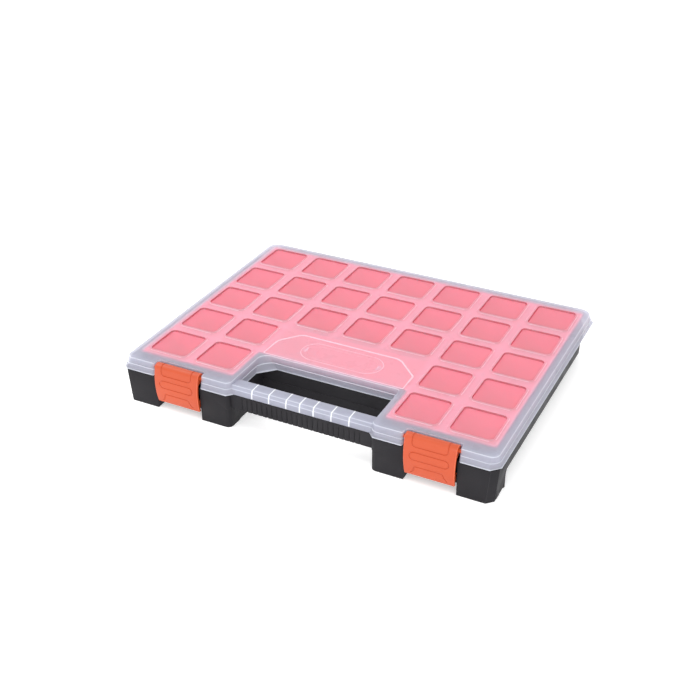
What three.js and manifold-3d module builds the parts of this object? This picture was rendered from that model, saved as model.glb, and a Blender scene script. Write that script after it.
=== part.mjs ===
// A flat carrying case for small parts: a black base full of red lift-out cups, a frosted see-through
// lid hinged at the back, two orange latches and a handle built into the front edge.
// Millimetres, +X to the right, +Y to the back, +Z up. The case stands on z = 0, lid closed.
import * as THREE from "three";
import { mergeVertices } from "three/addons/utils/BufferGeometryUtils.js";
import Module from "manifold-3d";

const wasm = await Module();
wasm.setup();

// ---------------------------------------------------------------- driving dimensions
const pitch = 52; // spacing of the cup grid, both ways
const columns = 7;
const sideColumns = 2; // cups left and right of the handle bay, in the two front rows
const rowPlaces = [2, 1, 0, -1, -2]; // rows from back to front, in pitches from the middle row
const height = 49; // ground to lid top
const gap = 0.3; // between pieces that touch
const wall = 2; // moulded wall of base and lid

const lidHalf = 191.4;
const lidFront = -148.7;
const lidBack = 139.4;
const skirtDrop = 12.5; // lid top to the bottom of its skirt
const rimHalf = 189.3;
const rimFront = -147.7;
const rimBack = 137.3;
const rimHeight = 15.3; // the band that the skirt stands on
const rimEnd = 98; // the side bands stop here, short of the back corners
const tubHalf = 183.6; // outer wall of the tub that holds the cups
const tubFront = -131.4;
const tubBack = 131.6;
const tubBevel = 9; // slant along the tub's bottom edge
const tubCorner = 11;
const upstand = 3.4; // the tub's wall rises this far inside the skirt
const bayHalf = 72.6; // handle bay, between the inner legs
const holeHalf = 69.7; // half width of the lid's finger hole
const bayBack = -84.9;
const holeBack = -87.9;
const legBack = -119;
const legOuter = 190.3;
const legCorner = { [-1]: -3, 1: -6 }; // cut off the outer front corner, left and right
const handleFront = -143.5;
const handleBack = -128.4;
const handleBottom = 20.7;
const gripGrooves = 24; // across the front of the base's half of the handle
const gripGrooveWidth = 1.2;
const gripGrooveDepth = 0.6;
const gripMargin = 12; // plain stretch at each end of the grooves
const lidHandleTop = 45.4; // the lid's half of the handle is a little lower than the panel

const latchPlace = 129.5; // middle of each latch, left and right of centre
const latchWidth = 48.4;
const notchHalf = 26.3; // half width of the lid's notch
const notchBack = -138;
const recessHalf = 25; // half width of the gap between two legs
const latchFace = -150.8;
const latchBottom = 8.6;
const latchPlate = 2.4;
const latchBarrel = 4.9; // radius of the rolled top
const latchAxisY = -143.6;
const latchAxisZ = height - latchBarrel;
const stubRadius = 1.7;
const stubReach = 2.2; // each stub goes this far into its bearing
const stubPlay = 0.4; // round the stub in its bearing
const bearingThick = 4;
const bearingHalf = 4.5;
const catchLip = -141.6; // front edge of the catch on the base
const catchBottom = 19;

const windowSide = 38;
const windowCorner = 5;
const windowDepth = 1; // the windows are sunk into the panel
const panel = 2.2; // thickness of the lid's top

const cupSide = 49.6;
const cupCorner = 9;
const cupWall = 1.3;
const cupDraft = 1.75; // each side leans in this much from the mouth to the bottom bevel
const cupBevel = 6;
const cupBevelInset = 5.4;
const cupFloor = wall + gap;
const cupTop = height - panel - gap;
const wideCup = [155.6, 55.4, 0, -53]; // length, depth and middle of the cup under the label panel

const hingeY = 141.4;
const hingeZ = 33.4;
const knuckle = 4;
const knuckleRelief = 0.7; // room round a knuckle in the other piece
const pinRadius = 1.5;
const pinHole = 1.8;
const hingePlace = 112;
const lidKnuckle = 24; // width of the lid's knuckle, between two of the base
const baseKnuckle = 12;
const hingeReach = lidKnuckle / 2 + baseKnuckle + 5; // the pin holes run past the whole hinge

// The grid's middle is a little in front of the middle of the whole outline.
const outlineFront = latchFace;
const outlineBack = hingeY + knuckle;
const gridShift = -(outlineFront + outlineBack) / 2;

const skirtBottom = height - skirtDrop;
const rimTop = skirtBottom - gap;
const rimBottom = rimTop - rimHeight;
const sides = [-1, 1];

// ---------------------------------------------------------------- solids
function solidOf(geometry) {
  const bare = geometry.index ? geometry.toNonIndexed() : geometry.clone();
  bare.deleteAttribute("normal");
  bare.deleteAttribute("uv");
  const merged = mergeVertices(bare, 1e-3);
  const mesh = new wasm.Mesh({
    numProp: 3,
    vertProperties: merged.attributes.position.array,
    triVerts: new Uint32Array(merged.index.array),
  });
  return new wasm.Manifold(mesh);
}

function geometryOf(solid) {
  const mesh = solid.getMesh();
  const geometry = new THREE.BufferGeometry();
  geometry.setAttribute("position", new THREE.BufferAttribute(mesh.vertProperties, 3));
  geometry.setIndex(new THREE.BufferAttribute(mesh.triVerts, 1));
  const flat = geometry.toNonIndexed();
  flat.computeVertexNormals();
  return flat;
}

const union = (parts) => parts.reduce((sum, part) => sum.add(part));
const cut = (body, tools) => tools.reduce((left, tool) => left.subtract(tool), body);

// An outline from corners [x, y, size]: size > 0 rounds the corner, size < 0 chamfers it.
const ARC = 0.5523;
function outline(corners) {
  const shape = new THREE.Shape();
  const count = corners.length;
  corners.forEach(([x, y, size = 0], i) => {
    const here = new THREE.Vector2(x, y);
    const [bx, by] = corners[(i + count - 1) % count];
    const [ax, ay] = corners[(i + 1) % count];
    const inward = new THREE.Vector2(bx, by).sub(here).setLength(Math.abs(size) || 1e-9);
    const onward = new THREE.Vector2(ax, ay).sub(here).setLength(Math.abs(size) || 1e-9);
    const start = here.clone().add(inward);
    const end = here.clone().add(onward);
    if (i === 0) shape.moveTo(start.x, start.y);
    else shape.lineTo(start.x, start.y);
    if (size > 0) {
      const c1 = start.clone().lerp(here, ARC);
      const c2 = end.clone().lerp(here, ARC);
      shape.bezierCurveTo(c1.x, c1.y, c2.x, c2.y, end.x, end.y);
    } else if (size < 0) shape.lineTo(end.x, end.y);
  });
  shape.closePath();
  return shape;
}

function prismGeometry(corners, low, high, steps = 3) {
  const settings = { depth: high - low, bevelEnabled: false, curveSegments: steps };
  return new THREE.ExtrudeGeometry(outline(corners), settings).translate(0, 0, low);
}

const prism = (corners, low, high, steps) => solidOf(prismGeometry(corners, low, high, steps));

// A section drawn in (y, z), pushed along X, and one drawn in (x, z), pushed along Y.
const X = new THREE.Vector3(1, 0, 0);
const Y = new THREE.Vector3(0, 1, 0);
const Z = new THREE.Vector3(0, 0, 1);
const alongX = new THREE.Matrix4().makeBasis(Y, Z, X);
const alongY = new THREE.Matrix4().makeBasis(X, Z, Y.clone().negate());
const barX = (corners, from, to, steps) =>
  solidOf(prismGeometry(corners, from, to, steps).applyMatrix4(alongX));
const barY = (corners, from, to, steps) =>
  solidOf(prismGeometry(corners, -to, -from, steps).applyMatrix4(alongY));

function rectangle(left, front, right, back, corner = 0) {
  return [
    [left, front, corner],
    [right, front, corner],
    [right, back, corner],
    [left, back, corner],
  ];
}

const box = (left, front, low, right, back, high) =>
  prism(rectangle(left, front, right, back), low, high);

// A round rod along X.
function rod(radius, from, to, y, z, steps = 16) {
  const geometry = new THREE.CylinderGeometry(radius, radius, to - from, steps);
  geometry.rotateZ(Math.PI / 2).translate((from + to) / 2, y, z);
  return solidOf(geometry);
}

// ---------------------------------------------------------------- where the cups stand
const cupPlaces = [];
rowPlaces.forEach((place, row) => {
  for (let column = 0; column < columns; column += 1) {
    const across = column - (columns - 1) / 2;
    const besideBay = column < sideColumns || column >= columns - sideColumns;
    if (place >= 0 || besideBay) {
      cupPlaces.push({
        name: `cup_row${row + 1}_col${column + 1}`,
        x: across * pitch,
        y: place * pitch,
      });
    }
  }
});

// ---------------------------------------------------------------- base
// Outline of the tub, grown outward by `grow`: a U around the handle bay.
function tubOutline(grow, corner) {
  const bay = bayHalf + 0.6 - grow;
  return [
    [-tubHalf - grow, tubFront - grow, corner],
    [-bay, tubFront - grow, 0],
    [-bay, bayBack - grow, 0],
    [bay, bayBack - grow, 0],
    [bay, tubFront - grow, 0],
    [tubHalf + grow, tubFront - grow, corner],
    [tubHalf + grow, tubBack + grow, corner],
    [-tubHalf - grow, tubBack + grow, corner],
  ];
}

// The wedges that slant the tub's bottom edges, for a face `inset` inside the outer one.
function bottomWedges(inset) {
  const side = tubHalf - inset;
  const back = tubBack - inset;
  const low = inset;
  const size = tubBevel - inset * (2 - Math.SQRT2);
  const far = 10;
  const reach = tubHalf + far;
  const section = (at, toward) => [
    [at + toward * far, low - far],
    [at - toward * (size + far), low - far],
    [at + toward * far, low + size + far],
  ];
  return [
    barY(section(side, 1), -reach, reach),
    barY(section(-side, -1), -reach, reach),
    barX(section(back, 1), -reach, reach),
  ];
}

function makeBase() {
  const tubTop = skirtBottom + upstand;
  const tub = cut(prism(tubOutline(0, tubCorner), 0, tubTop), bottomWedges(0));
  const cavity = cut(prism(tubOutline(-wall, tubCorner - wall), wall, tubTop + 1), bottomWedges(wall));

  // The rim band under the skirt, hollow from below; its side runs stop short of the back corners.
  const band = [
    [-rimHalf, rimFront, -3],
    [-bayHalf, rimFront, 4],
    [-bayHalf, bayBack - 1, 0],
    [bayHalf, bayBack - 1, 0],
    [bayHalf, rimFront, 4],
    [rimHalf, rimFront, -5],
    [rimHalf, rimEnd, -3],
    [tubHalf + 1, rimEnd + 5, 0],
    [tubHalf + 1, rimBack, -14],
    [-tubHalf - 1, rimBack, -14],
    [-tubHalf - 1, rimEnd + 5, 0],
    [-rimHalf, rimEnd, -3],
  ];
  const rim = prism(band, rimBottom, rimTop);
  const channel = cut(
    prism(rectangle(-rimHalf + wall, legBack + 6, rimHalf - wall, rimEnd - 4), rimBottom - 1, rimTop - wall),
    [prism(tubOutline(-0.5, tubCorner), 0, height)],
  );
  const backEnd = tubHalf - 12;
  const backChannel = box(-backEnd, tubBack - 0.5, rimBottom - 1, backEnd, rimBack - wall, rimTop - wall);

  const legs = [];
  const pockets = [];
  for (const side of sides) {
    const outer = side * legOuter;
    const gapOuter = side * (latchPlace + recessHalf);
    const gapInner = side * (latchPlace - recessHalf);
    const bay = side * bayHalf;
    const ordered = (a, b) => [Math.min(a, b), Math.max(a, b)];
    const [outerLeft, outerRight] = ordered(outer, gapOuter);
    const [innerLeft, innerRight] = ordered(gapInner, bay);
    const chamfer = (at) => (at === outer ? legCorner[side] : 0);
    legs.push(
      prism(
        [
          [outerLeft, rimFront, chamfer(outerLeft)],
          [outerRight, rimFront, chamfer(outerRight)],
          [outerRight, legBack, -2],
          [outerLeft, legBack, -2],
        ],
        0,
        rimTop,
      ),
      prism(
        [
          [innerLeft, rimFront, side > 0 ? 5 : 0],
          [innerRight, rimFront, side > 0 ? 0 : 5],
          [innerRight, tubFront + 1, 0],
          [innerLeft, tubFront + 1, 0],
        ],
        0,
        rimTop,
      ),
    );
    pockets.push(
      prism(
        [
          [outerLeft + wall, rimFront + wall, chamfer(outerLeft)],
          [outerRight - wall, rimFront + wall, chamfer(outerRight)],
          [outerRight - wall, tubFront - wall, 0],
          [outerLeft + wall, tubFront - wall, 0],
        ],
        wall,
        height,
      ),
      box(innerLeft + wall, rimFront + wall, wall, innerRight - wall, tubFront - wall, height),
    );
  }

  // Between the legs the band steps back to a ledge, and a catch for the latch's hook sits below it.
  const recesses = [];
  const catches = [];
  for (const side of sides) {
    const left = side * latchPlace - recessHalf;
    const right = side * latchPlace + recessHalf;
    recesses.push(box(left, rimFront - 5, -1, right, tubFront, rimTop + 0.1));
    catches.push(
      box(left - 0.5, notchBack + 0.6, rimTop - wall, right + 0.5, tubFront + 1, rimTop),
      barX(
        [
          [tubFront + 1, catchBottom],
          [tubFront + 1, catchBottom + 10],
          [catchLip + 4, catchBottom + 7.5],
          [catchLip, catchBottom + 2.5],
          [catchLip, catchBottom],
        ],
        left + 3,
        right - 3,
      ),
    );
  }

  // Lower half of the handle: a hollow bar with a row of grip grooves down its front.
  const bar = box(-bayHalf - 1, handleFront, handleBottom, bayHalf + 1, handleBack, rimTop);
  const barInside = bayHalf - wall;
  const barHollow = box(
    -barInside,
    handleFront + wall,
    handleBottom + wall,
    barInside,
    handleBack - wall,
    height,
  );
  const grooves = [];
  const grooveHalf = gripGrooveWidth / 2;
  const grooveStep = (2 * (bayHalf - gripMargin)) / (gripGrooves - 1);
  for (let i = 0; i < gripGrooves; i += 1) {
    const x = -bayHalf + gripMargin + i * grooveStep;
    const deep = handleFront + gripGrooveDepth;
    grooves.push(
      box(x - grooveHalf, handleFront - 1, handleBottom - 1, x + grooveHalf, deep, rimTop - wall),
    );
  }

  // Knuckles for the lid hinge, on arms from the back of the band.
  const knuckles = [];
  const reliefs = [];
  for (const side of sides) {
    const place = side * hingePlace;
    for (const end of sides) {
      const from = place + end * (lidKnuckle / 2 + gap + (end < 0 ? baseKnuckle : 0));
      knuckles.push(
        rod(knuckle, from, from + baseKnuckle, hingeY, hingeZ),
        box(from, rimBack - 1, hingeZ - knuckle, from + baseKnuckle, hingeY, hingeZ),
      );
    }
    const half = lidKnuckle / 2 + gap;
    reliefs.push(rod(knuckle + knuckleRelief, place - half, place + half, hingeY, hingeZ));
  }
  const pinHoles = sides.map((side) =>
    rod(pinHole, side * hingePlace - hingeReach, side * hingePlace + hingeReach, hingeY, hingeZ, 12),
  );

  const bayRoom = box(-bayHalf, rimFront - 1, -1, bayHalf, bayBack - 1, rimTop + 1);
  let body = union([tub, rim, ...legs]);
  body = cut(body, [channel, backChannel, cavity, ...pockets, ...recesses, bayRoom]);
  body = union([body, ...catches, cut(bar, [barHollow, ...grooves]), ...knuckles]);
  return cut(body, [...reliefs, ...pinHoles]);
}

// ---------------------------------------------------------------- lid
// Corners of the lid's outside, from the front left, grown outward by `grow`.
function lidOutline(grow) {
  const bay = holeHalf - grow;
  const notch = (side) => {
    const inner = side * latchPlace - notchHalf + grow;
    const outer = side * latchPlace + notchHalf - grow;
    return [
      [inner, lidFront - grow, 0],
      [inner, notchBack - grow, -2.5],
      [outer, notchBack - grow, -2.5],
      [outer, lidFront - grow, 0],
    ];
  };
  return [
    [-lidHalf - grow, lidFront - grow, -5],
    ...notch(-1),
    [-bay, lidFront - grow, -5],
    [-bay, handleFront - grow, 0],
    [bay, handleFront - grow, 0],
    [bay, lidFront - grow, -5],
    ...notch(1),
    [lidHalf + grow, lidFront - grow, -8],
    [lidHalf + grow, lidBack + grow, -8],
    [-lidHalf - grow, lidBack + grow, -10],
  ];
}

// The finger hole: its left back corner is cut off, the others are nearly square.
const holeOutline = (grow) => [
  [-holeHalf + grow, handleBack, 0],
  [holeHalf - grow, handleBack, 0],
  [holeHalf - grow, holeBack - grow, -2],
  [-holeHalf + grow, holeBack - grow, -14],
];

function makeLid() {
  const shell = prism(lidOutline(0), skirtBottom, height);
  const inside = prism(lidOutline(-wall), skirtBottom - 1, height - panel);
  const holeWall = prism(holeOutline(-wall), skirtBottom, height - 0.5);
  const hole = prism(holeOutline(0), skirtBottom - 1, height + 1);
  const handleTop = box(-holeHalf - 1, handleFront, skirtBottom, holeHalf + 1, handleBack, lidHandleTop);
  const handleHollow = box(
    -holeHalf,
    handleFront + wall,
    skirtBottom - 1,
    holeHalf,
    handleBack - wall,
    lidHandleTop - wall,
  );
  const handleDip = box(-holeHalf, lidFront - 1, lidHandleTop, holeHalf, handleBack, height + 1);
  const windows = cupPlaces.map(({ x, y }) => {
    const half = windowSide / 2;
    return prism(
      rectangle(x - half, y - half, x + half, y + half, windowCorner),
      height - windowDepth,
      height + 1,
    );
  });

  // Bearings beside each notch for the latch's stub axles.
  const bearings = [];
  const stubHoles = [];
  for (const side of sides) {
    for (const end of sides) {
      const face = side * latchPlace + end * notchHalf;
      const far = face + end * bearingThick;
      const [from, to] = [Math.min(face, far), Math.max(face, far)];
      const low = latchAxisZ - bearingHalf;
      bearings.push(box(from, latchAxisY - bearingHalf, low, to, latchAxisY + bearingHalf, height - 1));
      const blind = face + end * (stubReach + stubPlay);
      const [start, stop] = [Math.min(face - end, blind), Math.max(face - end, blind)];
      stubHoles.push(rod(stubRadius + stubPlay, start, stop, latchAxisY, latchAxisZ, 12));
    }
  }

  // Hinge knuckles hang below the back of the skirt.
  const knuckles = [];
  const reliefs = [];
  const pinHoles = [];
  for (const side of sides) {
    const place = side * hingePlace;
    const half = lidKnuckle / 2;
    knuckles.push(
      rod(knuckle, place - half, place + half, hingeY, hingeZ),
      barX(
        [
          [lidBack - wall, skirtBottom + 6],
          [lidBack - wall, skirtBottom],
          [hingeY - knuckle + 0.6, hingeZ],
          [hingeY + knuckle - 0.2, hingeZ],
          [lidBack - 0.2, skirtBottom + 6],
        ],
        place - half,
        place + half,
      ),
    );
    for (const end of sides) {
      const middle = place + end * (half + gap + baseKnuckle / 2);
      const reach = baseKnuckle / 2 + gap;
      reliefs.push(rod(knuckle + knuckleRelief, middle - reach, middle + reach, hingeY, hingeZ));
    }
    pinHoles.push(rod(pinHole, place - hingeReach, place + hingeReach, hingeY, hingeZ, 12));
  }

  // Room for the part of the tub's wall that rises inside the skirt.
  const upstandRoom = cut(prism(tubOutline(gap, tubCorner + gap), 0, skirtBottom + upstand + gap), [
    prism(tubOutline(-wall - gap, tubCorner - wall - gap), -1, height),
  ]);

  let body = cut(shell, [inside]);
  body = union([body, holeWall, ...bearings]);
  body = cut(body, [hole, handleDip]);
  body = cut(union([body, handleTop]), [handleHollow, ...windows, ...stubHoles]);
  body = cut(body, [upstandRoom, ...reliefs]);
  return cut(union([body, ...knuckles]), pinHoles);
}

// ---------------------------------------------------------------- cups
// A prism whose bottom outline is drawn in by `bottomInset` and its top by `topInset`.
function drafted(halfX, halfY, corner, low, high, bottomInset, topInset) {
  const geometry = prismGeometry(rectangle(-halfX, -halfY, halfX, halfY, corner), low, high, 2);
  const place = geometry.attributes.position;
  for (let i = 0; i < place.count; i += 1) {
    const inset = place.getZ(i) - low < (high - low) / 2 ? bottomInset : topInset;
    place.setX(i, place.getX(i) * (1 - inset / halfX));
    place.setY(i, place.getY(i) * (1 - inset / halfY));
  }
  return solidOf(geometry);
}

// A cup that narrows towards its floor, with a bevel round the bottom.
function makeCup(length, depth) {
  const tall = cupTop - cupFloor;
  const form = (shrink, low, high) => {
    const halfX = length / 2 - shrink;
    const halfY = depth / 2 - shrink;
    const corner = cupCorner - shrink;
    const knee = low + cupBevel;
    return union([
      drafted(halfX, halfY, corner, knee, high, cupDraft, 0),
      drafted(halfX, halfY, corner, low, knee, cupDraft + cupBevelInset, cupDraft),
    ]);
  };
  const mouth = prism(
    rectangle(-length / 2 + cupWall, -depth / 2 + cupWall, length / 2 - cupWall, depth / 2 - cupWall,
      cupCorner - cupWall),
    tall - 0.01,
    tall + 1,
    2,
  );
  return cut(form(0, 0, tall), [form(cupWall, cupWall, tall), mouth]);
}

// ---------------------------------------------------------------- latches
// Side view of a latch in (y, z): a rolled top, a bowed plate and a bead that meets the catch's lip.
function makeLatch() {
  const half = latchWidth / 2;
  const back = latchFace + latchPlate;
  const barrelFront = latchAxisY - latchBarrel;
  const plate = barX(
    [
      [barrelFront + 0.2, latchAxisZ, 0],
      [latchFace + 0.8, latchAxisZ - 8, 0],
      [latchFace, latchAxisZ - 18, 0],
      [latchFace + 0.5, latchBottom + 5, 0],
      [latchFace + 3, latchBottom, 0],
      [back + 2.6, latchBottom, 0],
      [back + 0.6, latchBottom + 5, 0],
      [back, latchAxisZ - 18, 0],
      [back + 0.8, latchAxisZ - 8, 0],
      [latchAxisY, latchAxisZ - latchBarrel + 0.2, 0],
      [latchAxisY, latchAxisZ, 0],
    ],
    -half,
    half,
  );
  const hook = barX(
    [
      [back - 0.4, catchBottom + 1.4],
      [back - 0.4, catchBottom - 6],
      [back + 2.6, catchBottom - 5],
      [catchLip - gap, catchBottom - 1.5],
      [catchLip - gap, catchBottom + 0.6],
    ],
    -half + 6,
    half - 6,
  );
  const rolled = rod(latchBarrel, -half, half, latchAxisY, latchAxisZ, 20);
  const stubEnd = notchHalf + stubReach;
  const stubs = rod(stubRadius, -stubEnd, stubEnd, latchAxisY, latchAxisZ, 12);
  return union([plate, hook, rolled, stubs]);
}

// ---------------------------------------------------------------- assembly
const materials = {
  base: { color: 0x3d3b40, roughness: 0.62, metalness: 0 },
  lid: { color: 0xcfd3df, roughness: 0.35, metalness: 0, transparent: true, opacity: 0.45 },
  cup: { color: 0xf0434f, roughness: 0.45, metalness: 0 },
  latch: { color: 0xf0713f, roughness: 0.4, metalness: 0 },
  pin: { color: 0xb9bbbd, roughness: 0.3, metalness: 1 },
};

const group = new THREE.Group();
group.position.y = gridShift;

function place(name, material, solid, x = 0, y = 0, z = 0) {
  const mesh = new THREE.Mesh(geometryOf(solid), new THREE.MeshStandardMaterial(materials[material]));
  mesh.name = name;
  mesh.position.set(x, y, z);
  group.add(mesh);
}

place("base_shell", "base", makeBase());
place("lid", "lid", makeLid());
const cup = makeCup(cupSide, cupSide);
for (const { name, x, y } of cupPlaces) place(name, "cup", cup, x, y, cupFloor);
place("cup_wide", "cup", makeCup(wideCup[0], wideCup[1]), wideCup[2], wideCup[3], cupFloor);
const latch = makeLatch();
place("latch_left", "latch", latch, -latchPlace);
place("latch_right", "latch", latch, latchPlace);
const pinHalf = lidKnuckle / 2 + gap + baseKnuckle - 0.5;
const pin = rod(pinRadius, -pinHalf, pinHalf, 0, 0, 12);
place("hinge_pin_left", "pin", pin, -hingePlace, hingeY, hingeZ);
place("hinge_pin_right", "pin", pin, hingePlace, hingeY, hingeZ);

export default group;
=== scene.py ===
# %% [markdown]
# # A parts organizer: clear lid, red cups, black base
# The case is a flat box for screws and beads. A black base holds thirty red cups, and a frosted lid is
# hinged at the back, with a window over every cup but the wide one, which lies under a label field.
# Two orange latches clip the front edge shut.
# The sizes of the pieces are in millimetres, measured from the middle cup of the grid, and are turned
# into Blender's metres when a mesh is made. Welding distances, the floor, the lamps and the camera's
# place are in metres. The cups' places and the base's shape come from the frame. The lid and the
# latches are drawn from sizes written here, and the finishes and lamps were tuned by trial.

# %% Load the frame
import math

import bmesh
import bpy
from mathutils import Matrix, Vector


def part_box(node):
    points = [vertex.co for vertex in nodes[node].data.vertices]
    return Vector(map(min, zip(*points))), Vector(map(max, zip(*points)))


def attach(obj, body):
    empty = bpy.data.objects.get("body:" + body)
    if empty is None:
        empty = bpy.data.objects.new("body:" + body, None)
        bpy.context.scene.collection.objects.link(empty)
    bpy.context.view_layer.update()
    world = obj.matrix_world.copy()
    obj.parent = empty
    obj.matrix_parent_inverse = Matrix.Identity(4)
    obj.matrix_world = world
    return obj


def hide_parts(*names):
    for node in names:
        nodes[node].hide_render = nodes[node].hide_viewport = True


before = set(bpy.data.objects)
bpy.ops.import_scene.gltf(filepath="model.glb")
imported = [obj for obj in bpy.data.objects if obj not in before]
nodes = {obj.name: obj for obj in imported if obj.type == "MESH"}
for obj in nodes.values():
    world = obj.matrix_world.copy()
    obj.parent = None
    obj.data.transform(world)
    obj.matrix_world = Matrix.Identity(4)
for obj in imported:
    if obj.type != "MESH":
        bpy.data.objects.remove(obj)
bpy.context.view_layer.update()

MM = 0.001
cup_names = sorted(name for name in nodes if name.startswith("cup_row"))


def middle(name):
    low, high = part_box(name)
    return (low + high) / 2


# The window rings stand RING_RISE above the web, and they are the highest part of the lid.
RING_RISE = 0.45
lid_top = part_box("lid")[1].z / MM - RING_RISE
grid_shift = middle("cup_row3_col4").y / MM
cups = {name: (middle(name).x / MM, middle(name).y / MM - grid_shift) for name in cup_names}
print("frame", len(nodes), "nodes, lid top", round(lid_top, 2), "mm, cups", len(cups))

# %% [markdown]
# ## Tools of the trade
# Operators act on whatever is selected, so each step starts from a clean selection. Pieces are drawn
# round the middle cup, and `finished` moves the vertices into the frame, so that the object itself
# stays at the origin, unturned and unscaled.

# %% Selection and edit-mode helpers
def only(*objects):
    bpy.ops.object.select_all(action="DESELECT")
    for obj in objects:
        obj.select_set(True)
    bpy.context.view_layer.objects.active = objects[0]


def edit(obj, mode="FACE"):
    only(obj)
    bpy.ops.object.mode_set(mode="EDIT")
    bpy.ops.mesh.select_mode(type=mode)


def object_mode():
    bpy.ops.object.mode_set(mode="OBJECT")


def pick(obj, kind, test):
    """In edit mode, selects only the vertices, edges or faces that pass the test."""
    mesh = bmesh.from_edit_mesh(obj.data)
    bpy.ops.mesh.select_all(action="DESELECT")
    found = [item for item in getattr(mesh, kind) if test(item)]
    for item in found:
        item.select_set(True)
    bmesh.update_edit_mesh(obj.data)
    return len(found)


def apply_all(obj):
    only(obj)
    for modifier in list(obj.modifiers):
        bpy.ops.object.modifier_apply(modifier=modifier.name)


def soften(obj, width, segments=2, angle=30, edge_material=-1):
    """Rounds every hard edge by `width` millimetres; the new faces can take a material of their own."""
    bevel = obj.modifiers.new("soften", "BEVEL")
    bevel.material = edge_material
    bevel.width = width * MM
    bevel.segments = segments
    bevel.limit_method = "ANGLE"
    bevel.angle_limit = math.radians(angle)
    apply_all(obj)


def smooth(obj, angle=35):
    only(obj)
    bpy.ops.object.shade_smooth_by_angle(angle=math.radians(angle))


def join(objects, name):
    only(*objects)
    bpy.ops.object.join()
    joined = bpy.context.view_layer.objects.active
    joined.name = name
    joined.data.name = name
    return joined


def boolean(obj, tool, operation="DIFFERENCE", solver="EXACT"):
    modifier = obj.modifiers.new("cut", "BOOLEAN")
    modifier.operation = operation
    modifier.object = tool
    modifier.solver = solver
    apply_all(obj)
    bpy.data.objects.remove(tool)


def finished(obj, body, slot, *replaced):
    """Settles the piece in the frame and hangs it on its body."""
    only(obj)
    bpy.ops.object.transform_apply(location=True, rotation=True, scale=True)
    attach(obj, body)
    if replaced:
        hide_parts(*replaced)
    print(obj.name, len(obj.data.polygons), "faces")
    return obj


def paint(obj, *materials):
    obj.data.materials.clear()
    for material in materials:
        obj.data.materials.append(material)


def outward(obj, merge=0.0):
    """Turns every face outward, after merging vertices closer than `merge` metres if it is given."""
    edit(obj)
    bpy.ops.mesh.select_all(action="SELECT")
    if merge:
        bpy.ops.mesh.remove_doubles(threshold=merge)
    bpy.ops.mesh.normals_make_consistent(inside=False)
    object_mode()


# %% Mesh makers
def mesh_object(name, points, faces):
    """A new mesh from points in millimetres round the middle cup."""
    mesh = bpy.data.meshes.new(name)
    mesh.from_pydata([(x * MM, (y + grid_shift) * MM, z * MM) for x, y, z in points], [], faces)
    mesh.update()
    obj = bpy.data.objects.new(name, mesh)
    bpy.context.collection.objects.link(obj)
    return obj


def prism(name, section, left, right, *materials):
    """A closed bar along X from a section of (y, z) points."""
    count = len(section)
    points = [(left, y, z) for y, z in section] + [(right, y, z) for y, z in section]
    faces = [(i, (i + 1) % count, count + (i + 1) % count, count + i) for i in range(count)]
    faces += [tuple(reversed(range(count))), tuple(range(count, 2 * count))]
    bar = mesh_object(name, points, faces)
    paint(bar, *materials)
    outward(bar)
    return bar


def round_bar(name, radius, half, x, y, z, sides, *materials):
    """A closed round bar along X, `half` long each way from its middle."""
    bpy.ops.object.select_all(action="DESELECT")
    bpy.ops.mesh.primitive_cylinder_add(
        vertices=sides,
        radius=radius * MM,
        depth=2 * half * MM,
        location=(x * MM, (y + grid_shift) * MM, z * MM),
        rotation=(0, math.pi / 2, 0),
    )
    bar = bpy.context.object
    bar.name = name
    bpy.ops.object.transform_apply(location=True, rotation=True, scale=True)
    paint(bar, *materials)
    return bar


def copies(source, places):
    """Copies of a piece at places (x, y) in millimetres, each with its own mesh."""
    made = []
    for x, y in places:
        copy = source.copy()
        copy.data = source.data.copy()
        copy.location = (x * MM, (y + grid_shift) * MM, 0)
        bpy.context.collection.objects.link(copy)
        made.append(copy)
    return made


# %% [markdown]
# ## Plastics
# Four plastics and a wire make the whole case. Base, cups and latches are opaque mouldings: each has
# a fine grain in its bump and a slow drift in its colour and gloss, as a moulding has. The lid is
# natural polypropylene: it is milky where the mould was etched and nearly clear in the windows.
# Its finish mixes light scattered back, light passed on and light let straight through. A frosted
# sheet shows only what lies close behind it, so `over_cups` makes the closed lid clearer above the
# cups and cloudier over the empty margin. That pattern is fixed to the lid and stays when it opens.

# %% Material helpers
def shader(name):
    material = bpy.data.materials.new(name)
    material.use_nodes = True
    tree = material.node_tree
    return material, tree, tree.nodes["Principled BSDF"]


def noise(tree, scale, detail=3.0, rough=0.5):
    place = tree.nodes.new("ShaderNodeTexCoord")
    texture = tree.nodes.new("ShaderNodeTexNoise")
    texture.inputs["Scale"].default_value = scale
    texture.inputs["Detail"].default_value = detail
    texture.inputs["Roughness"].default_value = rough
    tree.links.new(place.outputs["Object"], texture.inputs["Vector"])
    return texture.outputs["Fac"]


# Noise seldom leaves this band, so ramps start and end there.
NOISE_LOW, NOISE_HIGH = 0.3, 0.7


def spread(tree, value, low, high):
    """Maps noise onto low to high."""
    node = tree.nodes.new("ShaderNodeMapRange")
    node.inputs["From Min"].default_value = NOISE_LOW
    node.inputs["From Max"].default_value = NOISE_HIGH
    node.inputs["To Min"].default_value = low
    node.inputs["To Max"].default_value = high
    tree.links.new(value, node.inputs["Value"])
    return node.outputs["Result"]


def two_colours(tree, value, dark, light):
    """Blends dark into light over the noise band. The lid's mask uses it too, with a steeper fade."""
    ramp = tree.nodes.new("ShaderNodeValToRGB")
    ramp.color_ramp.elements[0].position = NOISE_LOW
    ramp.color_ramp.elements[0].color = (*dark, 1)
    ramp.color_ramp.elements[1].position = NOISE_HIGH
    ramp.color_ramp.elements[1].color = (*light, 1)
    tree.links.new(value, ramp.inputs["Fac"])
    return ramp.outputs["Color"]


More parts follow.
